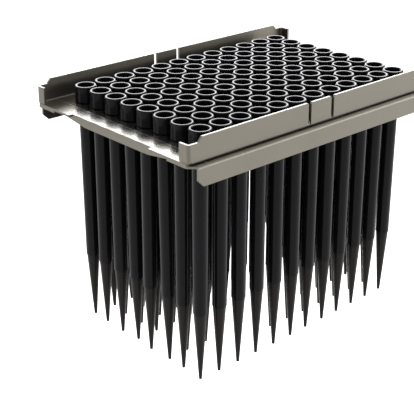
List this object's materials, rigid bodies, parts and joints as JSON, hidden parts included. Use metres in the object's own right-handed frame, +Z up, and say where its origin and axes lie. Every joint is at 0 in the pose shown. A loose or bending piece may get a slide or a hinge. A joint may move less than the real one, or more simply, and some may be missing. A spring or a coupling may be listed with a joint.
{
  "type": "pipette tip rack",
  "caption": "Folded sheet-metal tray with side walls and skirts, holding a grid of long black hollow pipette tips that lift out upwards.",
  "frame": {"origin": "centre of the grid of tips, on the underside of the lower frame's plate, which rests on the rim of a carrier", "axes": "+X along the twelve columns from column 1 to column 12, +Y along the eight rows from row H to row A, +Z up, out of the tips' sockets"},
  "size_m": [0.1278, 0.0874, 0.0971],
  "materials": {
    "sheet_metal": "satin stainless sheet, brighter cut edges",
    "tip_black": "carbon-filled polypropylene, satin gloss"
  },
  "bodies": {
    "frame": {"upper_tray": "sheet_metal", "lower_frame": "sheet_metal"},
    "tip_a1": {"tip_a1": "tip_black"},
    "tip_b1": {"tip_b1": "tip_black"},
    "tip_c1": {"tip_c1": "tip_black"},
    "tip_d1": {"tip_d1": "tip_black"},
    "tip_e1": {"tip_e1": "tip_black"},
    "tip_f1": {"tip_f1": "tip_black"},
    "tip_g1": {"tip_g1": "tip_black"},
    "tip_h1": {"tip_h1": "tip_black"},
    "column_2": {"tips_column_2": "tip_black"},
    "column_3": {"tips_column_3": "tip_black"},
    "column_4": {"tips_column_4": "tip_black"},
    "column_5": {"tips_column_5": "tip_black"},
    "column_6": {"tips_column_6": "tip_black"},
    "column_7": {"tips_column_7": "tip_black"},
    "column_8": {"tips_column_8": "tip_black"},
    "column_9": {"tips_column_9": "tip_black"},
    "column_10": {"tips_column_10": "tip_black"},
    "column_11": {"tips_column_11": "tip_black"},
    "column_12": {"tips_column_12": "tip_black"}
  },
  "joints": [
    {"name": "lift_tip_a1", "type": "slide", "parent": "frame", "child": "tip_a1", "axis": [0, 0, 1], "range_m": [0, 0.1]},
    {"name": "lift_tip_b1", "type": "slide", "parent": "frame", "child": "tip_b1", "axis": [0, 0, 1], "range_m": [0, 0.1]},
    {"name": "lift_tip_c1", "type": "slide", "parent": "frame", "child": "tip_c1", "axis": [0, 0, 1], "range_m": [0, 0.1]},
    {"name": "lift_tip_d1", "type": "slide", "parent": "frame", "child": "tip_d1", "axis": [0, 0, 1], "range_m": [0, 0.1]},
    {"name": "lift_tip_e1", "type": "slide", "parent": "frame", "child": "tip_e1", "axis": [0, 0, 1], "range_m": [0, 0.1]},
    {"name": "lift_tip_f1", "type": "slide", "parent": "frame", "child": "tip_f1", "axis": [0, 0, 1], "range_m": [0, 0.1]},
    {"name": "lift_tip_g1", "type": "slide", "parent": "frame", "child": "tip_g1", "axis": [0, 0, 1], "range_m": [0, 0.1]},
    {"name": "lift_tip_h1", "type": "slide", "parent": "frame", "child": "tip_h1", "axis": [0, 0, 1], "range_m": [0, 0.1]},
    {"name": "lift_column_2", "type": "slide", "parent": "frame", "child": "column_2", "axis": [0, 0, 1], "range_m": [0, 0.1]},
    {"name": "lift_column_3", "type": "slide", "parent": "frame", "child": "column_3", "axis": [0, 0, 1], "range_m": [0, 0.1]},
    {"name": "lift_column_4", "type": "slide", "parent": "frame", "child": "column_4", "axis": [0, 0, 1], "range_m": [0, 0.1]},
    {"name": "lift_column_5", "type": "slide", "parent": "frame", "child": "column_5", "axis": [0, 0, 1], "range_m": [0, 0.1]},
    {"name": "lift_column_6", "type": "slide", "parent": "frame", "child": "column_6", "axis": [0, 0, 1], "range_m": [0, 0.1]},
    {"name": "lift_column_7", "type": "slide", "parent": "frame", "child": "column_7", "axis": [0, 0, 1], "range_m": [0, 0.1]},
    {"name": "lift_column_8", "type": "slide", "parent": "frame", "child": "column_8", "axis": [0, 0, 1], "range_m": [0, 0.1]},
    {"name": "lift_column_9", "type": "slide", "parent": "frame", "child": "column_9", "axis": [0, 0, 1], "range_m": [0, 0.1]},
    {"name": "lift_column_10", "type": "slide", "parent": "frame", "child": "column_10", "axis": [0, 0, 1], "range_m": [0, 0.1]},
    {"name": "lift_column_11", "type": "slide", "parent": "frame", "child": "column_11", "axis": [0, 0, 1], "range_m": [0, 0.1]},
    {"name": "lift_column_12", "type": "slide", "parent": "frame", "child": "column_12", "axis": [0, 0, 1], "range_m": [0, 0.1]}
  ]
}
